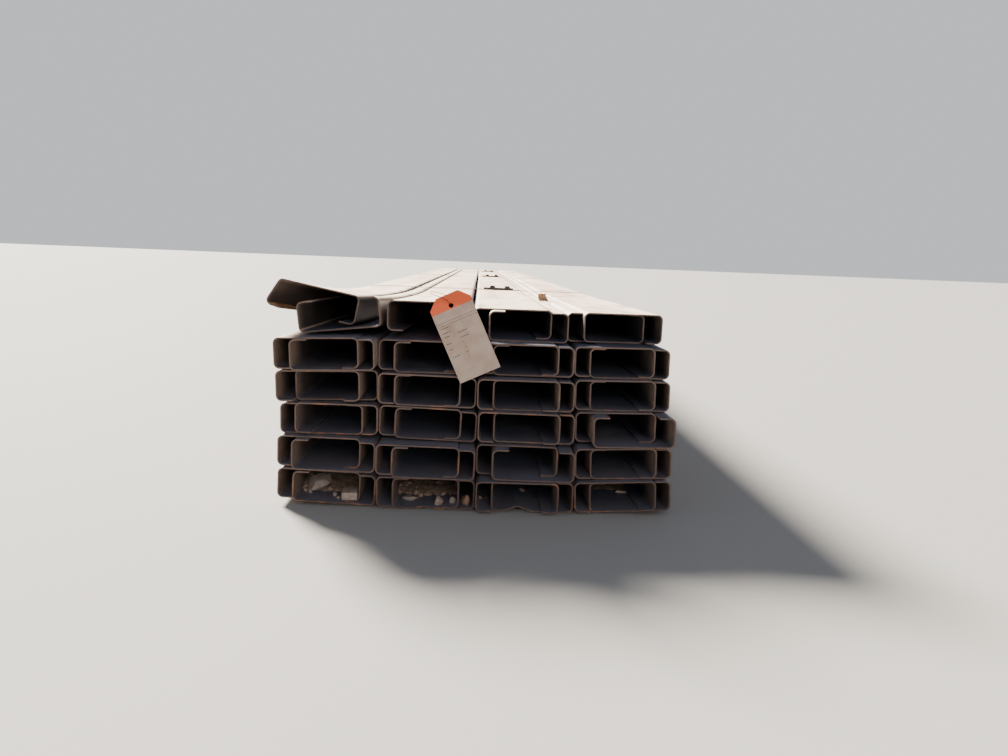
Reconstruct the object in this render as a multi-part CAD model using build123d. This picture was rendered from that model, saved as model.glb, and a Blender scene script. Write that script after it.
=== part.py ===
from build123d import *
from math import atan2, cos, degrees, radians, sin, sqrt, tan
import os

os.makedirs("parts", exist_ok=True)

# A strapped bundle of cold-formed, lipped C purlins. The purlins run along Y with the tagged end at -Y.
# Rows are counted from the top and columns from the left, as seen from the tagged end.

# The folded section: six inches deep, 12 gauge sheet
web = 152.4
flange = 57.15
lip = 30.0
sheet = 2.66
inside_bend = 8.0
purlin_length = 6096.0

# The bundle
row_count = 6
column_count = 4
flange_clearance = 0.4
rest_clearance = 0.1
column_gap = 1.6

# How far each row has slid sideways, from the top row down
row_shift = (-11.0, -2.0, 0.0, 3.0, 2.0, 3.0)

# How far each front end stands back, as (upper, lower) for each column, from the top row down
front_ends = (
    ((64, 30), (40, None), (100, 62), (74, 105)),
    ((-16, -20), (22, 14), (15, 20), (30, 34)),
    ((-10, 20), (2, 8), (-12, 4), (16, 24)),
    ((0, 10), (4, 0), (-16, 2), (10, -26)),
    ((-8, -24), (-34, -40), (-10, -38), (-22, -15)),
    ((-12, -20), (-28, -26), (-44, -28), (-30, -22)),
)

# Pairs that lie the other way round, the lower purlin to the left
mirrored_pairs = ((1, 4), (4, 1))

# Ahead of the first strap the rows fan out and sag in the middle: how far the left and right sides of each
# pair stand above a level row at the plane of the front ends, from the top row down
front_lifts = (
    ((8, 8), (8, 8), (8, 8), (8, 8.5)),
    ((8, 14), (8, 8), (8, 8), (6, 8.5)),
    ((8, 13), (8, 5.5), (5, 5), (5, 8.5)),
    ((8, 8), (8, 3), (5, 3.5), (5, 8.5)),
    ((8, 5), (3, 0.5), (3, 1), (2, 8.5)),
    ((8, 1.5), (0.5, 0.5), (1, 1), (0, 8.5)),
)

# The lifts die away evenly, up to this distance from the plane of the front ends, and damage in straight steps
settled_end = 1000.0
damage_steps = 4

# The lone upper purlin of the top row has slid towards the third column, and its front end is bent upwards
lone_pair = (1, 2)
lone_slide = 21.5
lone_lift = 14.5

# The top left pair is wrenched: the upper purlin is twisted and raised, with its left flange splayed
bent_pair = (1, 1)
web_tilt = 10.9
web_drift = 10.0
web_lift = 18.2
flange_splay = 22.4
lip_opening = 15.7

# The lower purlin of that pair has slid to the right, and its front end leans on its left corner
lean_angle = 6.4
lean_slide = 15.5
lean_lift = 4.7

# Dents pushed up into the bottom webs, as (column, distance from the left side, width, depth)
dents = ((3, 49.0, 70.0, 8.6), (2, 62.0, 54.0, 3.6))
dent_run = 240.0
dent_fade = 0.4

# Steel straps, each lapped on the top and closed by one crimped sleeve
band_width = 19.05
band_thickness = 0.8
band_clearance = 0.3
band_places = (1210.0, 3150.0, 5050.0)
lap_length = 150.0
lap_place = 62.0
seal_length = 100.0
seal_wall = 1.0
seal_clearance = 0.25
hump_places = (-29.0, 23.0)
hump_length = 24.0
hump_rise = 6.0
crimp_radius = 2.0

# Shipping tag, hanging with its foot against the third row, and its tie wire, which comes out of a seam
tag_width = 79.4
tag_length = 158.8
tag_thickness = 0.5
tag_clearance = 0.4
tag_swing = 24.8
tag_lean = 8.0
tag_corner = 18.0
tag_hole = 9.0
tag_hole_inset = 21.0
tag_hole_place = (-52.2, 376.8)
wire_diameter = 1.1
wire_route = (
    (-18.2, 104.0, 357.0),
    (-18.0, 82.0, 358.0),
    (-17.6, 57.0, 360.0),
    (-17.6, 30.0, 367.0),
    (-26.0, 18.0, 378.0),
    (-42.0, 18.0, 387.0),
    (-60.0, 20.0, 393.5),
    (-76.0, 19.0, 398.0),
    (-88.0, 18.0, 400.0),
    (-92.5, 9.5, 398.3),
    (-88.0, 1.0, 395.5),
    (-78.0, 0.8, 393.2),
    (-68.0, 0.5, 390.0),
    (-60.0, 0.8, 386.4),
    (-55.2, 2.8, 381.0),
    (-54.0, 8.1, 376.0),
)

outside_bend = inside_bend + sheet
nested_height = flange + sheet + rest_clearance
row_height = nested_height + rest_clearance

# The tip of an outer lip tucks into the rounded corner of the flange beside it
corner_tuck = outside_bend - sqrt(outside_bend**2 - (outside_bend - 2 * sheet) ** 2)
side_offset = lip - corner_tuck + flange_clearance
pair_width = web + side_offset
column_pitch = pair_width + column_gap

bundle_foot = band_thickness + band_clearance
bundle_top = bundle_foot + row_count * row_height - rest_clearance


def save(shape, name):
    shape.label = name
    export_step(shape, f"parts/{name}.step")


def row_foot(row):
    return bundle_foot + (row_count - row) * row_height


def pair_left(row, column):
    centre = (column - (column_count + 1) / 2) * column_pitch
    return centre - pair_width / 2 + row_shift[row - 1]


def purlin_left(row, column, upper):
    """Left side of one purlin: the upper one is on the left, except in a mirrored pair."""
    left = pair_left(row, column)
    if (row, column) == lone_pair:
        return left + lone_slide
    on_left = upper != ((row, column) in mirrored_pairs)
    return left if on_left else left + side_offset


def purlin_foot(row, column, upper):
    """An upper purlin stands with its lips on the web below it, all but touching."""
    if not upper or (row, column) == lone_pair:
        return row_foot(row)
    return row_foot(row) + sheet + rest_clearance


def turned(origin, heading, distance):
    x, z = origin
    return x + distance * cos(radians(heading)), z + distance * sin(radians(heading))


def section_corners(share=0.0):
    """Outer corners of an upper purlin's section, lip tip to lip tip; share is how much of the damage shows."""
    tilt = web_tilt * share
    splay = flange_splay * share
    opening = lip_opening * share
    # The right-hand bottom corner rolls about the centre of its own bend
    pivot = (web - outside_bend - web_drift * share, outside_bend + web_lift * share)
    corner = turned(turned(pivot, -tilt, outside_bend), -90 - tilt, outside_bend)
    tip = turned(corner, 180 - tilt, lip)
    right = turned(corner, 90 - tilt, flange)
    left = turned(right, 180 - tilt, web)
    foot = turned(left, 270 - tilt - splay, flange)
    far_tip = turned(foot, 360 - tilt - splay + opening, lip)
    return [tip, corner, right, left, foot, far_tip]


def section(share=0.0):
    skin = FilletPolyline(*section_corners(share), radius=outside_bend)
    return Plane.XZ * make_face(offset(skin, amount=sheet, side=Side.LEFT))


def raised_section(share):
    return Pos(0, 0, lone_lift * share) * section()


def leaning_section(share):
    """The section of a lower purlin that has yet to be turned over: its bottom left corner is at the top right."""
    turn = Pos(web, 0, flange) * Rot(0, -lean_angle * share, 0) * Pos(-web, 0, -flange)
    return Pos(-lean_slide, 0, -lean_lift * share) * turn * section()


def settled(row, column, y):
    """How a pair has moved from its level place, at a distance along the bundle."""
    nearness = 1 - y / settled_end
    left_lift, right_lift = front_lifts[row - 1][column - 1]
    roll = degrees(atan2(right_lift - left_lift, pair_width)) * nearness
    pivot = Pos(pair_left(row, column), 0, row_foot(row) + nested_height / 2)
    return Pos(0, 0, left_lift * nearness) * pivot * Rot(0, -roll, 0) * pivot.inverse()


def bent_purlin(front, steps, cross_section):
    """cross_section gives the section, in place, for a distance along the bundle and a share of the damage."""
    cuts = []
    for step in range(steps + 1):
        y = front + (settled_end - front) * step / steps
        cuts.append(Pos(0, y, 0) * cross_section(y, (1 - step / steps) ** 2))
    spans = [loft([near, far], ruled=True) for near, far in zip(cuts, cuts[1:])]
    body = extrude(cuts[-1], amount=front + purlin_length - settled_end, dir=(0, 1, 0))
    return body.fuse(*spans)


def dent_slice(width, rise):
    """One cross-section of the dented strip of web, from its left side."""
    lower = Spline((0, 0), (width / 2, rise), (width, 0), tangents=((1, 0), (1, 0)))
    upper = Pos(0, sheet) * lower
    sides = [Line((x, 0), (x, sheet)) for x in (0, width)]
    return Plane.XZ * make_face([lower, upper, *sides])


def dented(purlin, front, foot_place, from_left, width, depth):
    """A lower purlin with its web pushed up at the front end; foot_place gives the web's left side."""
    flat, slices = [], []
    for y, share in ((front, 1), (front + dent_run / 2, dent_fade), (front + dent_run, 0)):
        left = foot_place(y) * Pos(from_left - width / 2, y, 0)
        slices.append(left * dent_slice(width, depth * share))
        flat.append(left * (Plane.XZ * Rectangle(width, sheet, align=Align.MIN)))
    return (purlin - loft(flat[::2], ruled=True)).fuse(loft(slices, ruled=True))


def purlin(row, column, upper):
    front = front_ends[row - 1][column - 1][0 if upper else 1]
    damage, steps = None, 1
    if (row, column) == bent_pair:
        damage, steps = (section if upper else leaning_section), damage_steps
    elif (row, column) == lone_pair:
        damage, steps = raised_section, damage_steps

    def foot_place(y):
        foot = Pos(purlin_left(row, column, upper), 0, purlin_foot(row, column, upper))
        return settled(row, column, y) * foot

    def cross_section(y, share):
        # A lower purlin is the same section turned over
        turn = Pos(0, 0, 0) if upper else Pos(web, 0, flange) * Rot(0, 180, 0)
        return foot_place(y) * turn * (damage(share) if damage else section())

    shape = bent_purlin(front, steps, cross_section)
    for dent_column, from_left, width, depth in dents:
        if not upper and (row, column) == (row_count, dent_column):
            shape = dented(shape, front, foot_place, from_left, width, depth)
    return shape


def places():
    """Every purlin in the bundle, as (row, column, upper)."""
    for row in range(1, row_count + 1):
        for column in range(1, column_count + 1):
            for upper in (True, False):
                if front_ends[row - 1][column - 1][0 if upper else 1] is not None:
                    yield row, column, upper


def bend_centres():
    """Centres of the rounded corners of all the purlins, where the straps bear."""
    centres = set()
    for row, column, upper in places():
        left = purlin_left(row, column, upper)
        foot = purlin_foot(row, column, upper)
        for x in (left + outside_bend, left + web - outside_bend):
            for z in (foot + outside_bend, foot + flange - outside_bend):
                centres.add((round(x, 4), round(z, 4)))
    return sorted(centres)


def hull(points):
    """The points that a tight string around them all would touch."""
    half = []
    for ordered in (points, points[::-1]):
        chain = []
        for point in ordered:
            while len(chain) > 1:
                (ax, az), (bx, bz) = chain[-2:]
                if (bx - ax) * (point[1] - az) - (bz - az) * (point[0] - ax) > 1e-6:
                    break
                chain.pop()
            chain.append(point)
        half += chain[:-1]
    return half


def strap_loop():
    wrapped = Polygon(*hull(bend_centres()), align=None)
    inner = offset(wrapped, amount=outside_bend + band_clearance, kind=Kind.ARC)
    outer = offset(wrapped, amount=outside_bend + band_clearance + band_thickness, kind=Kind.ARC)
    return outer - inner


def band(place):
    """One strap, with its ends lapped on the top of the third column."""
    loop = extrude(Plane.XZ * strap_loop(), amount=band_width, dir=(0, 1, 0))
    lap_foot = bundle_top + band_clearance + band_thickness
    lap = Pos(lap_place, band_width / 2, lap_foot + band_thickness / 2) * Box(lap_length, band_width, band_thickness)
    return Pos(0, place - band_width / 2, 0) * loop.fuse(lap)


def seal(place):
    """A sleeve over the lapped strap, with two crimped humps."""
    inside_width = band_width + 2 * seal_clearance
    inside_height = 2 * band_thickness + seal_clearance
    width = inside_width + 2 * seal_wall
    height = inside_height + seal_wall
    sleeve = Pos(0, 0, height / 2) * Box(seal_length, width, height)
    for hump_place in hump_places:
        hump = Pos(hump_place, 0, height + hump_rise / 2) * Box(hump_length, width, hump_rise)
        top_edges = hump.edges().filter_by(Axis.Y).sort_by(Axis.Z)[-2:]
        sleeve += chamfer(top_edges, hump_rise * 0.6)
    sleeve -= Pos(0, 0, inside_height / 2) * Box(seal_length, inside_width, inside_height)
    for hump_place in hump_places:
        for side in (-width / 2, width / 2):
            sleeve -= Pos(hump_place, side, height / 2) * Cylinder(crimp_radius, 4 * height)
    return Pos(lap_place, place, bundle_top + band_clearance) * sleeve


def tag():
    """A card that hangs from its hole and leans back on the top edge of a purlin, third row and third column."""
    blank = Rectangle(tag_width, tag_length, align=(Align.CENTER, Align.MAX))
    top_corners = blank.vertices().sort_by(Axis.Y)[-2:]
    outline = Pos(0, tag_hole_inset) * chamfer(top_corners, tag_corner) - Circle(tag_hole / 2)
    lean = radians(tag_lean)
    x, z = tag_hole_place
    edge = row_foot(2) + front_lifts[2][2][0]
    y = front_ends[2][2][0] - tag_clearance + (z - edge) * tan(lean)
    face = Plane(origin=(x, y, z), x_dir=(1, 0, 0), z_dir=(0, -cos(lean), sin(lean)))
    return face * extrude(Rot(0, 0, tag_swing) * outline, amount=tag_thickness)


def wire_radii(route):
    """The largest bend that each corner of the route leaves room for."""
    radii = []
    for before, corner, after in zip(route, route[1:], route[2:]):
        run_in = Vector(*corner) - Vector(*before)
        run_out = Vector(*after) - Vector(*corner)
        half_turn = radians(run_in.get_angle(run_out)) / 2
        radii.append(0.45 * min(run_in.length, run_out.length) / tan(half_turn))
    return radii


def tag_wire():
    radii = wire_radii(wire_route)
    print("wire bends", [round(radius, 1) for radius in radii])
    path = FilletPolyline(*wire_route, radius=radii)
    print("wire length", round(path.length, 1))
    profile = RegularPolygon(wire_diameter / 2, side_count=6)
    return sweep(Plane(path @ 0, z_dir=path % 0) * profile, path=path)


bundle = {}
for row, column, upper in places():
    role = "upper" if upper else "lower"
    bundle[f"{role}_purlin_row{row}_col{column}"] = purlin(row, column, upper)

for name, place in zip(("front", "middle", "rear"), band_places):
    bundle[f"band_{name}"] = band(place)
    bundle[f"seal_{name}"] = seal(place)

# The origin is at the middle of the bundle's footprint, on the ground
boxes = [shape.bounding_box() for shape in bundle.values()]
middle_x = (min(box.min.X for box in boxes) + max(box.max.X for box in boxes)) / 2
middle_y = (min(box.min.Y for box in boxes) + max(box.max.Y for box in boxes)) / 2
print("origin", round(middle_x, 3), round(middle_y, 3))

bundle["tag"] = tag()
bundle["tag_wire"] = tag_wire()
for name, shape in bundle.items():
    save(Pos(-middle_x, -middle_y, 0) * shape, name)
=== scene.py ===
import bpy
import random
from math import cos, pi, radians, sin
from mathutils import Matrix, Vector, noise as shapeNoise


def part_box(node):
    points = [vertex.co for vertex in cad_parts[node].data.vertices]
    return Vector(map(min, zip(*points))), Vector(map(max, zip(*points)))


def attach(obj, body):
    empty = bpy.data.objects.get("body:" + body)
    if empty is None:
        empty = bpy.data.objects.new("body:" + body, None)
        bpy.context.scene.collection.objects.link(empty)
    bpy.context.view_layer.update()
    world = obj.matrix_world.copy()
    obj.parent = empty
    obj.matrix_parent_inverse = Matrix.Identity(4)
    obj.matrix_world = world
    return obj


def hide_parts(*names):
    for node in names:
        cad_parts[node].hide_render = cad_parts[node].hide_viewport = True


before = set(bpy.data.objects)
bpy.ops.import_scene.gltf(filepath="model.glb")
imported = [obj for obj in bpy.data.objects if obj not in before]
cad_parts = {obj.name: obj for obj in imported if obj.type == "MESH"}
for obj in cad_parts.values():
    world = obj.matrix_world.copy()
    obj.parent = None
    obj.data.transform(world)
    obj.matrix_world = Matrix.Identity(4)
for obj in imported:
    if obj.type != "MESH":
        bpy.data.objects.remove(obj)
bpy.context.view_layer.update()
print("frame loaded", len(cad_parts), "nodes")

# Places below were set out from the middle of the columns and the plane of the front ends; this moves them
setOut = Vector((0.015477, -3.0785, 0.0))


# helpers for modelling
def deselectAll():
    bpy.ops.object.select_all(action="DESELECT")


def makeActive(piece):
    deselectAll()
    piece.select_set(True)
    bpy.context.view_layer.objects.active = piece


def applyModifier(piece, kind, **settings):
    makeActive(piece)
    modifier = piece.modifiers.new(kind.title(), kind)
    for key, value in settings.items():
        setattr(modifier, key, value)
    bpy.ops.object.modifier_apply(modifier=modifier.name)


def punchOut(piece, cutter):
    applyModifier(piece, "BOOLEAN", operation="DIFFERENCE", object=cutter, solver="EXACT")
    bpy.data.objects.remove(cutter)


def addCutter(sides, radius, depth=0.04):
    # an upright rod, long enough to pass right through
    deselectAll()
    bpy.ops.mesh.primitive_cylinder_add(vertices=sides, radius=radius, depth=depth)
    return bpy.context.object


def cutAway(point, normal, fill):
    # bisect the piece that is in edit mode, and drop what lies beyond
    bpy.ops.mesh.select_all(action="SELECT")
    bpy.ops.mesh.bisect(plane_co=point, plane_no=normal, clear_outer=True, use_fill=fill)


def lowestPoint(piece):
    return min(vertex.co.z for vertex in piece.data.vertices)


def smoothUnder(piece, angle):
    makeActive(piece)
    bpy.ops.object.shade_smooth_by_angle(angle=radians(angle))


def finishPiece(piece, name, matrix, material):
    # the place goes into the mesh, and the object stays at the origin
    piece.data.transform(matrix @ piece.matrix_world)
    piece.matrix_world = Matrix.Identity(4)
    piece.name = name
    piece.data.name = name
    piece.data.materials.clear()
    piece.data.materials.append(material)
    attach(piece, "root")
    return piece


# helpers for materials
def newMaterial(name):
    material = bpy.data.materials.new(name)
    material.use_nodes = True
    tree = material.node_tree
    return material, tree, tree.nodes["Principled BSDF"]


def addNode(tree, kind, inputs=None, **settings):
    made = tree.nodes.new("ShaderNode" + kind)
    for key, value in settings.items():
        setattr(made, key, value)
    for key, value in (inputs or {}).items():
        if isinstance(value, bpy.types.NodeSocket):
            tree.links.new(value, made.inputs[key])
        else:
            made.inputs[key].default_value = value
    return made


def calc(tree, operation, a, b=0.0, clamp=False):
    return addNode(tree, "Math", {0: a, 1: b}, operation=operation, use_clamp=clamp).outputs[0]


def times(tree, a, b):
    return calc(tree, "MULTIPLY", a, b)


def fade(tree, value, low, high, start=0.0, end=1.0):
    # start at low, end at high, smooth between
    inputs = {"Value": value, "From Min": low, "From Max": high, "To Min": start, "To Max": end}
    return addNode(tree, "MapRange", inputs, interpolation_type="SMOOTHSTEP").outputs["Result"]


def blend(tree, share, first, second):
    return addNode(tree, "Mix", {0: share, 6: first, 7: second}, data_type="RGBA").outputs[2]


def layer(tree, base, paint, pattern, low, high, strength):
    # paint over the base, where the pattern rises from low to high
    return blend(tree, times(tree, fade(tree, pattern, low, high), strength), base, paint)


def within(tree, value, low, high, soft=0.002):
    # 1 between low and high, 0 outside
    falling = calc(tree, "SUBTRACT", 1.0, fade(tree, value, high - soft, high + soft))
    return times(tree, fade(tree, value, low - soft, low + soft), falling)


def objectPlace(tree):
    return addNode(tree, "TexCoord").outputs["Object"]


def noise(tree, place, scale, stretch=(1, 1, 1), detail=4.0, roughness=0.55, shift=(0, 0, 0)):
    moved = addNode(tree, "Mapping", {"Vector": place, "Scale": stretch, "Location": shift}).outputs[0]
    inputs = {"Vector": moved, "Scale": scale, "Detail": detail, "Roughness": roughness}
    return addNode(tree, "TexNoise", inputs).outputs["Fac"]


def bump(tree, height, distance, strength=1.0):
    return addNode(tree, "Bump", {"Height": height, "Distance": distance, "Strength": strength}).outputs[0]


# purlins: mill scale inside, with a painted blue sky reflection on its upward faces and painted light just
# inside each mouth; faded pale and chalky by the weather on top and on the open ledge, and painted near white
# there as sunlight; rusty along the cut ends; a painted patch of sunlight on the splayed lip
steelPatterns = {
    "blotches": {"scale": 9.0, "detail": 6},
    "grit": {"scale": 260.0, "detail": 3, "roughness": 0.7},
    "streaks": {"scale": 24.0, "stretch": (1.6, 0.05, 1.6), "detail": 5, "roughness": 0.6},
    "wideStreaks": {"scale": 7.0, "stretch": (1.5, 0.06, 1.5), "detail": 3, "shift": (3.1, 0.4, 0)},
    "stains": {"scale": 5.0, "stretch": (2.4, 1, 1), "detail": 8, "roughness": 0.68, "shift": (1, 8, 0)},
    "rustSpots": {"scale": 34.0, "detail": 4, "shift": (7, 2, 1)},
}
steelLook = {
    # inside floors: mill scale with a painted blue sky reflection
    "skyTintFloorScale": (0.075, 0.088, 0.135, 1),
    "skyTintFloorScaleWorn": (0.120, 0.122, 0.155, 1),
    "wallScale": (0.080, 0.066, 0.064, 1),
    "wallScaleWorn": (0.135, 0.105, 0.092, 1),
    # painted light just inside each mouth, on walls and floors; the floor one also carries the painted blue
    # sky reflection
    "mouthLightSkyTintFloor": (0.190, 0.178, 0.215, 1),
    "mouthLightWall": (0.340, 0.245, 0.195, 1),
    # the tops: paint faded pale by the weather, and painted near white as sunlight on them
    "sunlitBleached": (0.95, 0.76, 0.58, 1),
    "sunlitBleachedPink": (0.74, 0.51, 0.41, 1),
    "topStreak": (0.34, 0.24, 0.195, 1),
    "topStain": (0.36, 0.255, 0.205, 1),
    "weatheredSide": (0.17, 0.125, 0.105, 1),
    "sideStreak": (0.10, 0.072, 0.062, 1),
    "cutEdge": (0.098, 0.063, 0.052, 1),
    "rust": (0.25, 0.098, 0.042, 1),
    "darkRust": (0.075, 0.036, 0.025, 1),
    # a painted patch of sunlight on rust
    "sunlitLipRust": (0.95, 0.56, 0.22, 1),
    "roughness": (0.42, 0.62),
    "topRoughness": 0.72,
    "gritRelief": 0.35,
    "reliefDepth": 0.0006,
    "reliefStrength": 0.5,
    "metallic": 0.0,
    "specular": 0.5,
}
# where a layer fades in over its pattern, from low to high, and then how much of it shows
steelLayers = {
    "worn": (0.42, 0.72),
    "pinkTop": (0.4, 0.65),
    "stain": (0.48, 0.64, 0.65),
    "topStreaks": (0.52, 0.78, 0.3),
    "topGrit": (0.55, 0.8, 0.25),
    "sideStreaks": (0.4, 0.7),
    "sideRust": (0.55, 0.7, 0.6),
    "edgeRust": (0.35, 0.7),
    "rustSpots": (0.55, 0.68),
    "tan": (0.4, 0.65),
    "sunlitLipShare": 0.9,
}
# where the finishes meet: places in metres, and how much of a face's normal has to point that way
steelPlaces = {
    "topRow": (0.338, 0.344),
    "leftSide": -0.345,
    "rightSide": 0.367,
    # the left strip of the second row's top, painted as sunlit top
    "sunlitLedge": -0.311,
    "sunlitLedgeHeight": 0.290,
    "facingUp": (0.35, 0.8),
    "facingEnd": (0.8, 0.95),
    "facingSide": 0.4,
    "rustyHeight": (0.10, 0.33),
    "rustyShare": (0.9, 0.3),
}
# painted light just inside each mouth, lighter than the mill scale deeper in: where it starts, how deep and
# how ragged it is, and how much shows
paintedMouthLight = {
    "start": -0.02,
    "depth": 0.075,
    "ragged": 0.06,
    "grit": (0.2, 0.55),
    "onWalls": 0.85,
    "onFloors": 0.7,
}
# the painted patch of sunlight on the splayed lip's inner face: its sides, depth, heights and how far its
# faces point up
sunlitSplayedLip = {
    "left": -0.384,
    "right": -0.335,
    "deep": -2.86,
    "low": 0.346,
    "high": 0.384,
    "facing": (0.3, 0.6),
}


def sunlitTopMask(tree, xyz, facesUp):
    # the top row, and the ledge of the second row that the wrenched pair leaves open: both get the faded top
    # paint with painted sunlight on it
    places = steelPlaces
    onTopRow = fade(tree, xyz["Z"], *places["topRow"])
    onSunlitLedge = calc(tree, "LESS_THAN", xyz["X"], places["sunlitLedge"])
    onSunlitLedge = times(tree, onSunlitLedge, calc(tree, "GREATER_THAN", xyz["Z"], places["sunlitLedgeHeight"]))
    return times(tree, facesUp, calc(tree, "MAXIMUM", onTopRow, onSunlitLedge))


def sideMask(tree, xyz, normal):
    places = steelPlaces
    left = calc(tree, "LESS_THAN", xyz["X"], places["leftSide"])
    left = times(tree, left, calc(tree, "LESS_THAN", normal["X"], -places["facingSide"]))
    right = calc(tree, "GREATER_THAN", xyz["X"], places["rightSide"])
    right = times(tree, right, calc(tree, "GREATER_THAN", normal["X"], places["facingSide"]))
    return calc(tree, "MAXIMUM", left, right)


def sunlitLipMask(tree, xyz, normal):
    # the splayed lip of the top left purlin, where a patch of sunlight is painted on its rust
    lip = sunlitSplayedLip
    onLip = times(tree, within(tree, xyz["X"], lip["left"], lip["right"]),
                  within(tree, xyz["Z"], lip["low"], lip["high"]))
    onLip = times(tree, onLip, calc(tree, "LESS_THAN", xyz["Y"], lip["deep"]))
    return times(tree, onLip, fade(tree, normal["Z"], *lip["facing"]))


def insideColour(tree, patterns, xyz, facesUp):
    look = steelLook
    worn = fade(tree, patterns["blotches"], *steelLayers["worn"])
    walls = blend(tree, worn, look["wallScale"], look["wallScaleWorn"])
    floors = blend(tree, worn, look["skyTintFloorScale"], look["skyTintFloorScaleWorn"])
    # painted light just inside the mouth, ragged by the grit pattern and fading deeper in
    depth = calc(tree, "SUBTRACT", xyz["Y"], setOut.y + paintedMouthLight["start"])
    depth = calc(tree, "SUBTRACT", depth, times(tree, patterns["blotches"], paintedMouthLight["ragged"]))
    mouthLightShare = calc(tree, "SUBTRACT", 1.0, fade(tree, depth, 0.0, paintedMouthLight["depth"]))
    mouthLightShare = times(tree, mouthLightShare, fade(tree, patterns["grit"], *paintedMouthLight["grit"]))
    walls = blend(tree, times(tree, mouthLightShare, paintedMouthLight["onWalls"]), walls, look["mouthLightWall"])
    floors = blend(tree, times(tree, mouthLightShare, paintedMouthLight["onFloors"]), floors, look["mouthLightSkyTintFloor"])
    # upward inner faces take the painted blue sky reflection
    return blend(tree, facesUp, walls, floors)


# tops faded pale by the weather, and painted near white as sunlight
def sunlitTopColour(tree, patterns):
    look = steelLook
    pink = fade(tree, patterns["wideStreaks"], *steelLayers["pinkTop"])
    top = blend(tree, pink, look["sunlitBleached"], look["sunlitBleachedPink"])
    top = layer(tree, top, look["topStain"], patterns["stains"], *steelLayers["stain"])
    top = layer(tree, top, look["topStreak"], patterns["streaks"], *steelLayers["topStreaks"])
    return layer(tree, top, look["topStreak"], patterns["grit"], *steelLayers["topGrit"])


def sideColour(tree, patterns):
    look = steelLook
    streaked = fade(tree, patterns["streaks"], *steelLayers["sideStreaks"])
    side = blend(tree, streaked, look["weatheredSide"], look["sideStreak"])
    return layer(tree, side, look["darkRust"], patterns["blotches"], *steelLayers["sideRust"])


def edgeColour(tree, patterns, height):
    # cut ends, rustier towards the ground
    look = steelLook
    darker = fade(tree, patterns["grit"], *steelLayers["edgeRust"])
    edge = blend(tree, darker, look["cutEdge"], look["darkRust"])
    rusty = fade(tree, patterns["rustSpots"], *steelLayers["rustSpots"])
    lowRows = fade(tree, height, *steelPlaces["rustyHeight"], *steelPlaces["rustyShare"])
    return blend(tree, times(tree, rusty, lowRows), edge, look["rust"])


def makeSteel():
    look = steelLook
    material, tree, shader = newMaterial("weatheredSteel")
    place = objectPlace(tree)
    xyz = addNode(tree, "SeparateXYZ", {0: place}).outputs
    normal = addNode(tree, "SeparateXYZ", {0: addNode(tree, "NewGeometry").outputs["Normal"]}).outputs
    patterns = {name: noise(tree, place, **settings) for name, settings in steelPatterns.items()}

    facesUp = fade(tree, normal["Z"], *steelPlaces["facingUp"])
    isSunlitTop = sunlitTopMask(tree, xyz, facesUp)
    isEnd = fade(tree, calc(tree, "ABSOLUTE", normal["Y"]), *steelPlaces["facingEnd"])
    colour = insideColour(tree, patterns, xyz, facesUp)
    colour = blend(tree, sideMask(tree, xyz, normal), colour, sideColour(tree, patterns))
    # painted sunlight on the tops and on the open ledge
    colour = blend(tree, isSunlitTop, colour, sunlitTopColour(tree, patterns))
    colour = blend(tree, isEnd, colour, edgeColour(tree, patterns, xyz["Z"]))
    # painted sunlight on the splayed lip's rust
    tan = blend(tree, fade(tree, patterns["blotches"], *steelLayers["tan"]), look["sunlitLipRust"], look["rust"])
    colour = blend(tree, times(tree, sunlitLipMask(tree, xyz, normal), steelLayers["sunlitLipShare"]), colour, tan)

    low, high = look["roughness"]
    inputs = {"Value": patterns["blotches"], "To Min": low, "To Max": high}
    rough = addNode(tree, "MapRange", inputs).outputs["Result"]
    rough = calc(tree, "MAXIMUM", rough, times(tree, isSunlitTop, look["topRoughness"]))
    relief = calc(tree, "ADD", times(tree, patterns["grit"], look["gritRelief"]), patterns["streaks"])
    relief = bump(tree, relief, look["reliefDepth"], look["reliefStrength"])
    tree.links.new(colour, shader.inputs["Base Color"])
    tree.links.new(rough, shader.inputs["Roughness"])
    tree.links.new(relief, shader.inputs["Normal"])
    shader.inputs["Metallic"].default_value = look["metallic"]
    shader.inputs["Specular IOR Level"].default_value = look["specular"]
    return material


# straps and seals: thin dark steel with worn and rusty patches
bandLook = {
    "strap": (0.060, 0.050, 0.046, 1),
    "strapRust": (0.11, 0.06, 0.04, 1),
    "seal": (0.035, 0.032, 0.030, 1),
    "sealWorn": (0.12, 0.09, 0.07, 1),
    "patches": {"scale": 45.0, "detail": 5},
    "patchEdge": (0.45, 0.7),
    "grainScale": 400.0,
    "grainDepth": 0.0003,
    "metallic": 0.35,
    "roughness": 0.5,
}


def makeBandSteel(name, plain, patch):
    look = bandLook
    material, tree, shader = newMaterial(name)
    place = objectPlace(tree)
    patched = fade(tree, noise(tree, place, **look["patches"]), *look["patchEdge"])
    grain = bump(tree, noise(tree, place, look["grainScale"]), look["grainDepth"])
    tree.links.new(blend(tree, patched, look[plain], look[patch]), shader.inputs["Base Color"])
    tree.links.new(grain, shader.inputs["Normal"])
    shader.inputs["Metallic"].default_value = look["metallic"]
    shader.inputs["Roughness"].default_value = look["roughness"]
    return material


def finishFor(nodeName):
    if nodeName.startswith("band"):
        return bandSteel
    if nodeName.startswith("seal"):
        return sealSteel
    return steel


steel = makeSteel()
bandSteel = makeBandSteel("bandSteel", "strap", "strapRust")
sealSteel = makeBandSteel("sealSteel", "seal", "sealWorn")
for name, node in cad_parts.items():
    node.data.materials.clear()
    node.data.materials.append(finishFor(name))
print("steel painted")

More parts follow.
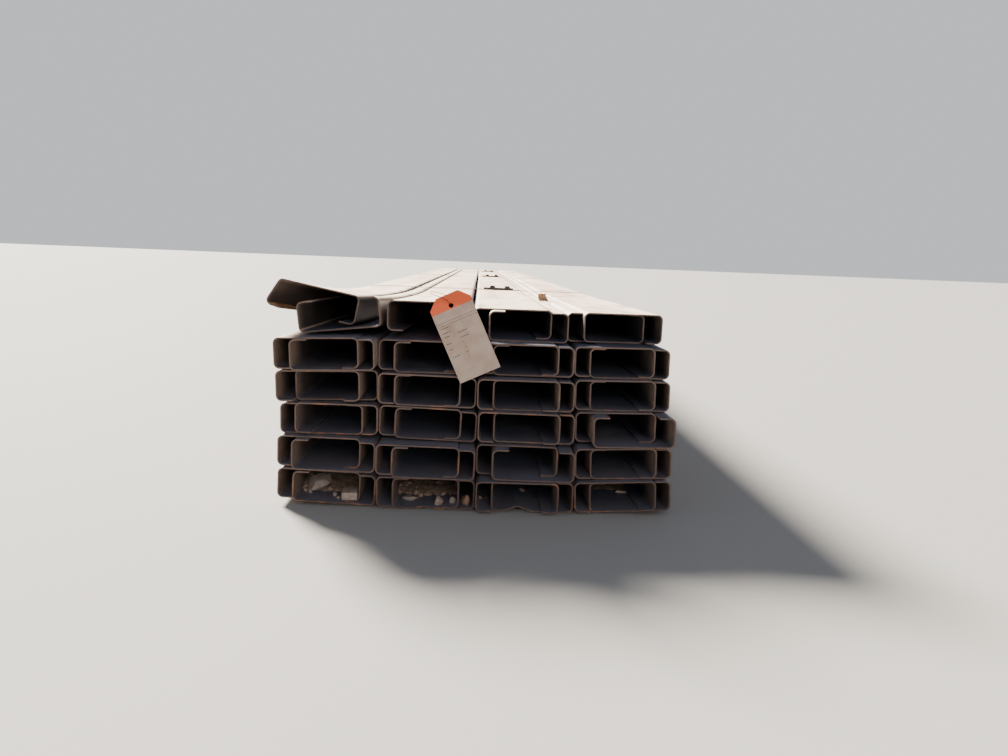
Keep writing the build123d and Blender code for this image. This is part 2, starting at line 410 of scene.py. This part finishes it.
# seal: a pressed sleeve over the lapped strap, with two crimped humps and a notch at each side of them
sealLook = {
    "bodyHeight": 0.0072,
    "humps": (-0.020, 0.030),
    "humpHeight": 0.0068,
    "humpLength": 0.021,
    "crownShareAlong": 0.66,
    "crownShareAcross": 0.8,
    "facingUp": 0.9,
    "edgeRadius": 0.0011,
    "slotHeight": 0.0019,
    "wall": 0.0010,
    "notchRadius": 0.0018,
    "notchOffset": 0.0004,
    "smoothAngle": 35,
}
slotExtra = {"below": 0.001, "lengthShare": 1.2}  # so that the slot passes right through


def nearestHump(x):
    return min(sealLook["humps"], key=lambda hump: abs(x - hump))


def raiseHumps(sleeve):
    # cut the sleeve across at both ends of each hump, pull up the faces between, and narrow their crowns
    look = sealLook
    makeActive(sleeve)
    bpy.ops.object.mode_set(mode="EDIT")
    for hump in look["humps"]:
        for side in (-0.5, 0.5):
            bpy.ops.mesh.select_all(action="SELECT")
            bpy.ops.mesh.bisect(plane_co=(hump + side * look["humpLength"], 0, 0), plane_no=(1, 0, 0))
    bpy.ops.mesh.select_mode(type="FACE")
    bpy.ops.mesh.select_all(action="DESELECT")
    bpy.ops.object.mode_set(mode="OBJECT")
    for face in sleeve.data.polygons:
        onHump = abs(face.center.x - nearestHump(face.center.x)) < look["humpLength"] / 2
        face.select = face.normal.z > look["facingUp"] and onHump
    bpy.ops.object.mode_set(mode="EDIT")
    bpy.ops.mesh.extrude_region_move(TRANSFORM_OT_translate={"value": (0, 0, look["humpHeight"])})
    bpy.ops.object.mode_set(mode="OBJECT")
    for vertex in sleeve.data.vertices:
        if vertex.co.z > look["bodyHeight"] + look["humpHeight"] / 2:
            hump = nearestHump(vertex.co.x)
            vertex.co.x = hump + (vertex.co.x - hump) * look["crownShareAlong"]
            vertex.co.y *= look["crownShareAcross"]


def makeSeal(name):
    look = sealLook
    low, high = (Vector(corner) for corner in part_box("seal_" + name))
    middle, size = (low + high) / 2, high - low
    deselectAll()
    bpy.ops.mesh.primitive_cube_add(size=1.0)
    sleeve = bpy.context.object
    sleeve.scale = (size.x, size.y, look["bodyHeight"])
    sleeve.location = (0, 0, look["bodyHeight"] / 2)
    bpy.ops.object.transform_apply(location=True, rotation=False, scale=True)
    raiseHumps(sleeve)
    applyModifier(sleeve, "BEVEL", width=look["edgeRadius"], segments=3, limit_method="ANGLE")
    deselectAll()
    bpy.ops.mesh.primitive_cube_add(size=1.0)
    slot = bpy.context.object
    slot.location = (0, 0, (look["slotHeight"] - slotExtra["below"]) / 2)
    slot.scale = (size.x * slotExtra["lengthShare"], size.y - 2 * look["wall"],
                  look["slotHeight"] + slotExtra["below"])
    punchOut(sleeve, slot)
    for hump in look["humps"]:
        for side in (-1, 1):
            notch = addCutter(16, look["notchRadius"])
            notch.location = (hump, side * (size.y / 2 + look["notchOffset"]), 0)
            punchOut(sleeve, notch)
    place = Matrix.Translation((middle.x, middle.y, low.z))
    sleeve = finishPiece(sleeve, "strap_seal_" + name, place, sealSteel)
    smoothUnder(sleeve, look["smoothAngle"])
    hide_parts("seal_" + name)


for name in ("front", "middle", "rear"):
    makeSeal(name)
print("seals crimped")

# shipping tag: a card with two cut corners, creased where it leans back, and printed with plain rules
tagLook = {
    "width": 0.0794,
    "length": 0.1588,
    "thickness": 0.0005,
    "corner": 0.018,
    "holeRadius": 0.0045,
    "holeInset": 0.021,
    "holePlace": (-0.0522, 0.0056, 0.3768),
    "swing": 24.8,
    "lean": 8.0,
    "creaseHeight": 0.3785,
    "creaseAngle": 22.0,
    "curl": 0.0022,
    "curlHeight": 0.11,
    "smoothAngle": 30,
    "grid": (22, 44),
}
cardLook = {
    "card": (0.37, 0.27, 0.22, 1),
    "cardPale": (0.43, 0.335, 0.28, 1),
    "cardStain": (0.30, 0.20, 0.145, 1),
    "orange": (0.72, 0.115, 0.038, 1),
    "ink": (0.05, 0.04, 0.04, 1),
    "orangeDepth": 0.027,
    "orangeEdge": 0.004,
    "soil": {"scale": 38.0, "detail": 5},
    "soilEdge": (0.35, 0.65),
    "stains": {"scale": 21.0, "detail": 4, "shift": (2, 5, 1)},
    "stainLayer": (0.55, 0.72, 0.45),
    "inkWear": {"scale": 420.0, "detail": 4},
    "inkWearEdge": (0.32, 0.55),
    "inkShare": 0.9,
    "fibre": {"scale": 900.0, "detail": 3},
    "fibreDepth": 0.00015,
    "fibreStrength": 0.6,
    "roughness": 0.75,
}
# printed rules, as (left, right, distance from the top) in shares of the card
longRules = ((0.03, 0.97, 0.287), (0.03, 0.99, 0.318))
shortRules = (
    (0.06, 0.30, 0.345), (0.06, 0.27, 0.402), (0.07, 0.21, 0.448), (0.06, 0.19, 0.53), (0.06, 0.17, 0.60),
    (0.07, 0.25, 0.695), (0.40, 0.63, 0.448), (0.41, 0.62, 0.51), (0.42, 0.46, 0.57), (0.42, 0.47, 0.63),
    (0.42, 0.46, 0.69), (0.43, 0.46, 0.75),
)
longRuleHalf, shortRuleHalf = 0.0032, 0.0056  # half of a rule's thickness, as a share of the card's length


def makeRule(tree, uv, rule, halfThickness):
    # 1 on a straight printed line of the card, 0 elsewhere
    left, right, down = rule
    centre = ((left + right) / 2, 1 - down, 0)
    offset = addNode(tree, "VectorMath", {0: uv, 1: centre}, operation="SUBTRACT").outputs[0]
    offset = addNode(tree, "VectorMath", {0: offset}, operation="ABSOLUTE").outputs[0]
    away = addNode(tree, "SeparateXYZ", {0: offset}).outputs
    across = calc(tree, "LESS_THAN", away["X"], (right - left) / 2)
    return times(tree, across, calc(tree, "LESS_THAN", away["Y"], halfThickness))


def makeInk(tree, uv, place):
    look = cardLook
    ink = 0.0
    for rules, halfThickness in ((longRules, longRuleHalf), (shortRules, shortRuleHalf)):
        for rule in rules:
            ink = calc(tree, "ADD", makeRule(tree, uv, rule, halfThickness), ink, clamp=True)
    worn = fade(tree, noise(tree, place, **look["inkWear"]), *look["inkWearEdge"])
    return times(tree, times(tree, ink, worn), look["inkShare"])


def makeCardPaper():
    look = cardLook
    material, tree, shader = newMaterial("manilaCard")
    place = objectPlace(tree)
    uv = addNode(tree, "TexCoord").outputs["UV"]
    soiled = fade(tree, noise(tree, place, **look["soil"]), *look["soilEdge"])
    colour = blend(tree, soiled, look["card"], look["cardPale"])
    colour = layer(tree, colour, look["cardStain"], noise(tree, place, **look["stains"]), *look["stainLayer"])
    colour = blend(tree, makeInk(tree, uv, place), colour, look["ink"])
    top, edge = 1 - look["orangeDepth"] / tagLook["length"], look["orangeEdge"]
    up = addNode(tree, "SeparateXYZ", {0: uv}).outputs["Y"]
    colour = blend(tree, fade(tree, up, top - edge, top + edge), colour, look["orange"])
    fibre = bump(tree, noise(tree, place, **look["fibre"]), look["fibreDepth"], look["fibreStrength"])
    tree.links.new(colour, shader.inputs["Base Color"])
    tree.links.new(fibre, shader.inputs["Normal"])
    shader.inputs["Roughness"].default_value = look["roughness"]
    return material


def makeTag():
    look = tagLook
    deselectAll()
    across, along = look["grid"]
    bpy.ops.mesh.primitive_grid_add(x_subdivisions=across, y_subdivisions=along, size=1.0)
    card = bpy.context.object
    card.scale = (look["width"], look["length"], 1)
    card.location = (0, look["holeInset"] - look["length"] / 2, 0)
    bpy.ops.object.transform_apply(location=True, rotation=False, scale=True)
    bpy.ops.object.mode_set(mode="EDIT")
    for side in (-1, 1):
        corner = (side * (look["width"] / 2 - look["corner"]), look["holeInset"], 0)
        cutAway(corner, (side, 1, 0), False)
    bpy.ops.object.mode_set(mode="OBJECT")
    applyModifier(card, "SOLIDIFY", thickness=look["thickness"], offset=-1)
    punchOut(card, addCutter(28, look["holeRadius"], depth=0.01))
    swing, lean = radians(look["swing"]), radians(look["lean"])
    hang = Matrix.Rotation(pi / 2 - lean, 4, "X") @ Matrix.Rotation(swing, 4, "Z")
    place = Matrix.Translation(Vector(look["holePlace"]) + setOut) @ hang
    card = finishPiece(card, "shipping_tag", place, makeCardPaper())
    for vertex in card.data.vertices:
        above = max(0.0, vertex.co.z - look["creaseHeight"])
        below = max(0.0, look["creaseHeight"] - vertex.co.z)
        vertex.co.y += above * sin(radians(look["creaseAngle"]))
        vertex.co.y -= look["curl"] * sin(pi * min(1.0, below / look["curlHeight"])) ** 2
    smoothUnder(card, look["smoothAngle"])
    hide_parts("tag")


makeTag()
print("tag hung")

# tie wire: out of the seam, behind the tag and over its cut corner, and back down into the hole
wireLook = {
    "diameter": 0.0011,
    "steel": (0.018, 0.016, 0.017, 1),
    "rust": (0.04, 0.025, 0.02, 1),
    "mottle": {"scale": 160.0, "detail": 4},
    "mottleEdge": (0.45, 0.65),
    "metallic": 0.2,
    "roughness": 0.5,
}
wireRoute = (
    (-0.0182, 0.104, 0.3570),
    (-0.0180, 0.082, 0.3580),
    (-0.0176, 0.057, 0.3600),
    (-0.0176, 0.030, 0.3670),
    (-0.026, 0.018, 0.3780),
    (-0.042, 0.018, 0.3870),
    (-0.060, 0.020, 0.3935),
    (-0.076, 0.019, 0.3980),
    (-0.088, 0.018, 0.4000),
    (-0.0925, 0.0095, 0.3983),
    (-0.088, 0.001, 0.3955),
    (-0.078, 0.0008, 0.3932),
    (-0.068, 0.0005, 0.3900),
    (-0.060, 0.0008, 0.3864),
    (-0.0552, 0.0028, 0.3810),
    (-0.054, 0.0081, 0.3760),
)


def makeWireSteel():
    look = wireLook
    material, tree, shader = newMaterial("tieWire")
    mottle = noise(tree, objectPlace(tree), **look["mottle"])
    colour = blend(tree, fade(tree, mottle, *look["mottleEdge"]), look["steel"], look["rust"])
    tree.links.new(colour, shader.inputs["Base Color"])
    shader.inputs["Metallic"].default_value = look["metallic"]
    shader.inputs["Roughness"].default_value = look["roughness"]
    return material


def makeWire():
    look = wireLook
    curve = bpy.data.curves.new("tie_wire", "CURVE")
    curve.dimensions = "3D"
    spline = curve.splines.new("NURBS")
    spline.points.add(len(wireRoute) - 1)
    for point, place in zip(spline.points, wireRoute):
        point.co = (*(Vector(place) + setOut), 1.0)
    spline.order_u = 3
    spline.use_endpoint_u = True
    spline.resolution_u = 8
    curve.bevel_depth = look["diameter"] / 2
    curve.bevel_resolution = 2
    curve.use_fill_caps = True
    curve.materials.append(makeWireSteel())
    wire = bpy.data.objects.new("tie_wire", curve)
    bpy.context.collection.objects.link(wire)
    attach(wire, "root")
    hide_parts("tag_wire")


makeWire()
print("wire tied")

# stones, rubble and blown dirt that lie in the lowest row
stoneLook = {
    "grey": (0.34, 0.315, 0.305, 1),
    "beige": (0.40, 0.335, 0.285, 1),
    "brown": (0.27, 0.205, 0.165, 1),
    "reddish": (0.40, 0.20, 0.13, 1),
    "dirt": (0.17, 0.125, 0.10, 1),
    "dirtPale": (0.29, 0.215, 0.172, 1),
    "mottle": {"scale": 90.0, "detail": 4},
    "mottleEdge": (0.35, 0.68),
    "grain": {"scale": 520.0, "detail": 4, "roughness": 0.7},
    "grainLayer": (0.5, 0.75, 0.5),
    "reliefDepth": 0.0007,
    "reliefStrength": 0.8,
    "roughness": 0.93,
    "specular": 0.25,
    "roundedEdge": 0.02,
    "cutDepth": (0.2, 0.34),
    "lowestCut": -0.3,
    "cutDown": -0.3,
    "smoothAngle": 28,
}
# cells of the lowest row: the left and right wall of each, and the height of its floor at each wall
cells = {
    "col1": {"left": -0.3303, "right": -0.2126, "floorLeft": 0.0108, "floorRight": 0.0063},
    "col2": {"left": -0.1473, "right": -0.0296, "floorLeft": 0.0043, "floorRight": 0.0043},
    "col2side": {"left": -0.0265, "right": -0.0006, "floorLeft": 0.0043, "floorRight": 0.0043},
    "col3left": {"left": 0.0066, "right": 0.0323, "floorLeft": 0.0022, "floorRight": 0.0022},
    "col3": {"left": 0.0357, "right": 0.1533, "floorLeft": 0.0048, "floorRight": 0.0048},
    "col4": {"left": 0.2187, "right": 0.3363, "floorLeft": 0.0042, "floorRight": 0.0110},
}
settledFloor = 0.0038  # height of every cell's floor from one metre in
# stones that show one by one: tone, cell, middle (x, y), size, turn and tilt in degrees, height of the
# underside over the floor, and how many cuts shape it (none for a squared block)
bigStones = (
    ("grey", "col1", (-0.302, 0.062), (0.052, 0.074, 0.017), -24, 13, 0.0012, 9),
    ("beige", "col1", (-0.231, 0.008), (0.029, 0.040, 0.014), 3, 0, 0.0030, 0),
    ("grey", "col1", (-0.3205, 0.034), (0.008, 0.007, 0.006), 10, 0, 0.0, 6),
    ("grey", "col1", (-0.3090, 0.026), (0.009, 0.007, 0.006), 50, 0, 0.0, 6),
    ("grey", "col1", (-0.2615, 0.018), (0.010, 0.009, 0.007), 80, 0, 0.0, 6),
    ("brown", "col1", (-0.2530, 0.002), (0.008, 0.008, 0.005), 30, 0, 0.0, 6),
    ("grey", "col2", (-0.1190, 0.022), (0.034, 0.022, 0.008), 4, 0, 0.0, 8),
    ("beige", "col2", (-0.0645, -0.004), (0.018, 0.016, 0.017), 20, 0, 0.0, 9),
    ("grey", "col2", (-0.0380, 0.001), (0.014, 0.014, 0.013), 70, 0, 0.0, 9),
    ("brown", "col2", (-0.1010, 0.036), (0.010, 0.009, 0.007), 0, 0, 0.0, 6),
    ("brown", "col2", (-0.0900, 0.044), (0.008, 0.009, 0.006), 45, 0, 0.0, 6),
    ("reddish", "col2side", (-0.0130, 0.003), (0.017, 0.020, 0.019), 15, 0, 0.0, 8),
    ("brown", "col3left", (0.0150, 0.030), (0.012, 0.014, 0.010), 15, 0, 0.0, 7),
    ("brown", "col3left", (0.0255, 0.034), (0.009, 0.010, 0.008), 75, 0, 0.0, 7),
    ("brown", "col3", (0.0980, 0.090), (0.012, 0.012, 0.006), 30, 0, 0.0, 7),
    ("beige", "col4", (0.2970, 0.088), (0.024, 0.007, 0.005), 2, 0, 0.0, 6),
)
# heaps: cell, front and back, height, how many pebbles lie on it
heaps = (
    ("col1", 0.045, 0.330, 0.018, 150),
    ("col2", 0.050, 0.330, 0.015, 150),
    ("col4", 0.110, 0.330, 0.005, 12),
)
heapLook = {
    "cuts": 46,
    "wallGap": 0.0003,
    "floorGap": 0.0002,
    "frontWave": 0.012,
    "waveScale": 40,
    "shoulder": 0.6,
    "lumpScale": 55,
    "gravelScale": 150,
    "gravelShare": 0.35,
    "base": 0.55,
    "atWalls": 0.3,
    "lumpiness": 0.45,
}
pebbleLook = {
    "kinds": 4,
    "cuts": 6,
    "widthShare": (0.7, 1),
    "heightShare": (0.55, 0.8),
    "small": (0.0025, 0.0085),
    "large": (0.009, 0.014),
    "largeEvery": 6,
    "tilt": 0.4,
    "reach": 0.62,
    "sunk": 0.2,
    "floorGap": 0.0004,
}


def makeStoneMaterial(name, tone):
    look = stoneLook
    material, tree, shader = newMaterial(name)
    place = objectPlace(tree)
    grain = noise(tree, place, **look["grain"])
    mottle = noise(tree, place, **look["mottle"])
    colour = blend(tree, fade(tree, mottle, *look["mottleEdge"]), look[tone], look["dirtPale"])
    colour = layer(tree, colour, look["dirt"], grain, *look["grainLayer"])
    relief = bump(tree, calc(tree, "ADD", grain, mottle), look["reliefDepth"], look["reliefStrength"])
    tree.links.new(colour, shader.inputs["Base Color"])
    tree.links.new(relief, shader.inputs["Normal"])
    shader.inputs["Roughness"].default_value = look["roughness"]
    shader.inputs["Specular IOR Level"].default_value = look["specular"]
    return material


def makeStone(size, turn, tilt, cuts, dice):
    # a ball cut flat on random sides, or a block where there are no cuts, standing on its own underside
    look = stoneLook
    deselectAll()
    if cuts:
        bpy.ops.mesh.primitive_ico_sphere_add(subdivisions=2, radius=0.5)
    else:
        bpy.ops.mesh.primitive_cube_add(size=0.8)
    stone = bpy.context.object
    bpy.ops.object.mode_set(mode="EDIT")
    for cut in range(cuts):
        normal = Vector((dice.uniform(-1, 1), dice.uniform(-1, 1), dice.uniform(look["lowestCut"], 1)))
        normal.normalize()
        cutAway(normal * dice.uniform(*look["cutDepth"]), normal, True)
    cutAway((0, 0, look["cutDown"]), (0, 0, -1), True)
    bpy.ops.mesh.select_all(action="SELECT")
    bpy.ops.mesh.normals_make_consistent(inside=False)
    bpy.ops.object.mode_set(mode="OBJECT")
    applyModifier(stone, "BEVEL", width=look["roundedEdge"], segments=2, limit_method="ANGLE")
    corners = [[corner[axis] for corner in stone.bound_box] for axis in range(3)]
    span = [max(side) - min(side) for side in corners]
    foot = Vector((sum(corners[0]) / 8, sum(corners[1]) / 8, min(corners[2])))
    fit = Matrix.Diagonal((size[0] / span[0], size[1] / span[1], size[2] / span[2], 1))
    stone.data.transform(fit @ Matrix.Translation(-foot))
    stone.data.transform(Matrix.Rotation(radians(tilt), 4, "X") @ Matrix.Rotation(radians(turn), 4, "Z"))
    stone.data.transform(Matrix.Translation((0, 0, -lowestPoint(stone))))
    return stone


def cellFloor(cell, x, y):
    # the lowest row's floor slopes from wall to wall, and settles by one metre from the end
    share = (x - cell["left"]) / (cell["right"] - cell["left"])
    level = cell["floorLeft"] + (cell["floorRight"] - cell["floorLeft"]) * share
    return settledFloor + (level - settledFloor) * (1 - y)


def joinPieces(pieces, name, material):
    makeActive(pieces[0])
    for piece in pieces:
        piece.select_set(True)
    if len(pieces) > 1:
        bpy.ops.object.join()
    joined = finishPiece(bpy.context.object, name, Matrix.Translation(setOut), material)
    smoothUnder(joined, stoneLook["smoothAngle"])


def makeStones(tones):
    dice = random.Random(11)
    groups = {}
    for tone, cellName, (x, y), size, turn, tilt, foot, cuts in bigStones:
        stone = makeStone(size, turn, tilt, cuts, dice)
        stone.data.transform(Matrix.Translation((x, y, cellFloor(cells[cellName], x, y) + foot)))
        groups.setdefault(tone, []).append(stone)
    for tone, stonesOfTone in groups.items():
        joinPieces(stonesOfTone, tone + "_stones", tones[tone])


def heapHeight(u, v, x, y):
    # u runs across and v along the heap, both from -1 to 1; it is lumpy, and higher at the walls
    look = heapLook
    slope = max(0.0, 1 - v * v) ** look["shoulder"]
    lumps = 0.5 + 0.5 * shapeNoise.noise(Vector((x, y, 0)) * look["lumpScale"])
    lumps += look["gravelShare"] * shapeNoise.noise(Vector((x, y, 3)) * look["gravelScale"])
    return slope * (look["base"] + look["atWalls"] * u * u + look["lumpiness"] * lumps)


def makeHeap(cell, near, far, height):
    look = heapLook
    deselectAll()
    bpy.ops.mesh.primitive_cube_add(size=2.0)
    heap = bpy.context.object
    bpy.ops.object.mode_set(mode="EDIT")
    bpy.ops.mesh.subdivide(number_cuts=look["cuts"])
    bpy.ops.object.mode_set(mode="OBJECT")
    left, right = cell["left"] + look["wallGap"], cell["right"] - look["wallGap"]
    for vertex in heap.data.vertices:
        u, v, w = vertex.co
        x = (left + right) / 2 + u * (right - left) / 2
        y = (near + far) / 2 + v * (far - near) / 2
        y += look["frontWave"] * shapeNoise.noise(Vector((x, 0, 9)) * look["waveScale"]) * (1 - v) / 2
        rise = height * heapHeight(u, v, x, y) * (w + 1) / 2
        vertex.co = (x, y, cellFloor(cell, x, y) + rise + look["floorGap"])
    return heap


def layPebble(kinds, cell, top, isLarge, dice):
    # one copy of a pebble, turned at random and sunk a little into the heap
    look = pebbleLook
    size = dice.uniform(*look["large"]) if isLarge else dice.uniform(*look["small"])
    spot = dice.choice(top)
    pebble = dice.choice(kinds).copy()
    pebble.data = pebble.data.copy()
    bpy.context.collection.objects.link(pebble)
    turn = Matrix.Rotation(dice.uniform(0, 2 * pi), 4, "Z")
    turn = turn @ Matrix.Rotation(dice.uniform(-look["tilt"], look["tilt"]), 4, "X")
    x = min(max(spot.x, cell["left"] + size * look["reach"]), cell["right"] - size * look["reach"])
    z = max(spot.z - size * look["sunk"], cellFloor(cell, x, spot.y) + look["floorGap"])
    place = Matrix.Translation((x, spot.y, z))
    pebble.data.transform(place @ turn @ Matrix.Diagonal((size, size, size, 1)))
    return pebble


def makeHeaps(pebbleMaterial):
    look = pebbleLook
    dirt = makeStoneMaterial("blownDirt", "dirt")
    dice = random.Random(29)
    for cellName, near, far, height, pebbleCount in heaps:
        cell = cells[cellName]
        heap = makeHeap(cell, near, far, height)
        top = [vertex.co.copy() for vertex in heap.data.vertices]
        joinPieces([heap], "dirt_" + cellName, dirt)
        kinds = []
        for kind in range(look["kinds"]):
            shape = (1, dice.uniform(*look["widthShare"]), dice.uniform(*look["heightShare"]))
            kinds.append(makeStone(shape, 0, 0, look["cuts"], dice))
        pebbles = [layPebble(kinds, cell, top, count % look["largeEvery"] == 0, dice)
                   for count in range(pebbleCount)]
        for kind in kinds:
            bpy.data.objects.remove(kind)
        joinPieces(pebbles, "pebbles_" + cellName, pebbleMaterial)


stoneTones = {tone: makeStoneMaterial(tone + "Stone", tone) for tone in ("grey", "beige", "brown", "reddish")}
makeStones(stoneTones)
makeHeaps(stoneTones["brown"])
print("stones and dirt laid")

# a curled, dry scrap that lies against the seam on top
scrapLook = {
    "place": (0.160, 0.545, 0.3622),
    "width": 0.024,
    "length": 0.030,
    "thickness": 0.0005,
    "curl": 70,
    "curlRise": 0.36,
    "ragged": 0.16,
    "raggedScale": 2.2,
    "crumple": 0.0035,
    "crumpleScale": 1.7,
    "turn": 24,
    "tilt": 38,
    "grid": (26, 30),
    "brown": (0.30, 0.16, 0.09, 1),
    "pale": (0.46, 0.30, 0.20, 1),
    "tones": {"scale": 130.0, "detail": 5},
    "toneEdge": (0.4, 0.65),
    "fibreScale": 700.0,
    "fibreDepth": 0.0003,
    "roughness": 0.85,
}


def makeScrapMaterial():
    look = scrapLook
    material, tree, shader = newMaterial("dryScrap")
    place = objectPlace(tree)
    tones = fade(tree, noise(tree, place, **look["tones"]), *look["toneEdge"])
    fibre = bump(tree, noise(tree, place, look["fibreScale"]), look["fibreDepth"])
    tree.links.new(blend(tree, tones, look["brown"], look["pale"]), shader.inputs["Base Color"])
    tree.links.new(fibre, shader.inputs["Normal"])
    shader.inputs["Roughness"].default_value = look["roughness"]
    return material


def makeScrap():
    look = scrapLook
    deselectAll()
    across, along = look["grid"]
    bpy.ops.mesh.primitive_grid_add(x_subdivisions=across, y_subdivisions=along, size=1.0)
    scrap = bpy.context.object
    for vertex in scrap.data.vertices:
        u, v = vertex.co.x * 2, vertex.co.y * 2
        ragged = 1 + look["ragged"] * shapeNoise.noise(Vector((u, v, 0)) * look["raggedScale"])
        curl = radians(look["curl"]) * v
        x = look["width"] / 2 * u * ragged
        y = look["length"] / 2 * sin(curl) * ragged
        z = look["length"] * look["curlRise"] * (1 - cos(curl))
        z += look["crumple"] * shapeNoise.noise(Vector((u, v, 5)) * look["crumpleScale"])
        vertex.co = (x, y, z)
    applyModifier(scrap, "SOLIDIFY", thickness=look["thickness"], offset=0)
    applyModifier(scrap, "SUBSURF", levels=1, render_levels=1)
    turn = Matrix.Rotation(radians(look["turn"]), 4, "Z") @ Matrix.Rotation(radians(look["tilt"]), 4, "X")
    scrap.data.transform(turn)
    place = Vector(look["place"]) + setOut - Vector((0, 0, lowestPoint(scrap)))
    scrap = finishPiece(scrap, "dry_scrap", Matrix.Translation(place), makeScrapMaterial())
    makeActive(scrap)
    bpy.ops.object.shade_smooth()


makeScrap()
print("scrap laid")

# floor, light and camera
studio = {
    "floorSize": 240.0,
    "floorColour": (0.36, 0.35, 0.335, 1),
    "floorRoughness": 0.9,
    "world": (0.74, 0.83, 1.0, 1),
    "worldStrength": 0.35,
    "backdrop": (0.93, 0.95, 0.98, 1),
    "backdropStrength": 0.75,
}
keyLight = {"from": (-0.55, 0.80, 0.62), "strength": 26.0, "softness": 16.0, "colour": (1.0, 0.93, 0.82)}
fillLight = {
    "place": (2.0, -14.0, 3.1),
    "aim": (0, -2.9, 0.2),
    "size": 5.0,
    "power": 500.0,
    "colour": (1.0, 0.90, 0.80),
}
cameraLook = {
    "place": (-0.0012, -1.3693, 0.4609),
    "yaw": 2.101,
    "pitch": 8.851,
    "roll": 2.291,
    "focalPixels": 754.0,
    "imageWidth": 1008,
    "sensorWidth": 36.0,
    "nearest": 0.05,
    "farthest": 200.0,
}


def makeFloor():
    deselectAll()
    bpy.ops.mesh.primitive_plane_add(size=studio["floorSize"], location=(0, 0, 0))
    floor = bpy.context.object
    floor.name = "floor"
    material, tree, shader = newMaterial("paleFloor")
    shader.inputs["Base Color"].default_value = studio["floorColour"]
    shader.inputs["Roughness"].default_value = studio["floorRoughness"]
    floor.data.materials.append(material)


def makeKey():
    look = keyLight
    deselectAll()
    bpy.ops.object.light_add(type="SUN")
    light = bpy.context.object
    light.name = "key"
    light.data.energy = look["strength"]
    light.data.angle = radians(look["softness"])
    light.data.color = look["colour"]
    light.rotation_euler = Vector(look["from"]).to_track_quat("Z", "Y").to_euler()


def makeFill():
    look = fillLight
    deselectAll()
    bpy.ops.object.light_add(type="AREA", location=look["place"])
    light = bpy.context.object
    light.name = "fill"
    light.data.size = look["size"]
    light.data.energy = look["power"]
    light.data.color = look["colour"]
    aim = Vector(look["aim"]) - Vector(look["place"])
    light.rotation_euler = aim.to_track_quat("-Z", "Y").to_euler()


def makeWorld():
    # the camera sees a paler sky than the one that lights the steel, so that the hollows stay dark
    world = bpy.context.scene.world or bpy.data.worlds.new("studio")
    bpy.context.scene.world = world
    world.use_nodes = True
    tree = world.node_tree
    ambient = tree.nodes["Background"]
    ambient.inputs["Color"].default_value = studio["world"]
    ambient.inputs["Strength"].default_value = studio["worldStrength"]
    inputs = {"Color": studio["backdrop"], "Strength": studio["backdropStrength"]}
    backdrop = addNode(tree, "Background", inputs)
    seen = addNode(tree, "LightPath").outputs["Is Camera Ray"]
    mixed = addNode(tree, "MixShader", {0: seen, 1: ambient.outputs[0], 2: backdrop.outputs[0]})
    tree.links.new(mixed.outputs[0], tree.nodes["World Output"].inputs["Surface"])


def makeCamera():
    look = cameraLook
    yaw, pitch, roll = (radians(look[key]) for key in ("yaw", "pitch", "roll"))
    level = Vector((sin(yaw), cos(yaw), 0))
    aside = Vector((cos(yaw), -sin(yaw), 0))
    ahead = level * cos(pitch) - Vector((0, 0, sin(pitch)))
    above = level * sin(pitch) + Vector((0, 0, cos(pitch)))
    right = aside * cos(roll) + above * sin(roll)
    up = above * cos(roll) - aside * sin(roll)
    deselectAll()
    bpy.ops.object.camera_add()
    camera = bpy.context.object
    turn = Matrix((right, up, -ahead)).transposed().to_4x4()
    camera.matrix_world = Matrix.Translation(Vector(look["place"]) + setOut) @ turn
    camera.data.sensor_width = look["sensorWidth"]
    camera.data.lens = look["sensorWidth"] * look["focalPixels"] / look["imageWidth"]
    camera.data.clip_start = look["nearest"]
    camera.data.clip_end = look["farthest"]
    bpy.context.scene.camera = camera


makeFloor()
makeKey()
makeFill()
makeWorld()
makeCamera()
print("studio set")
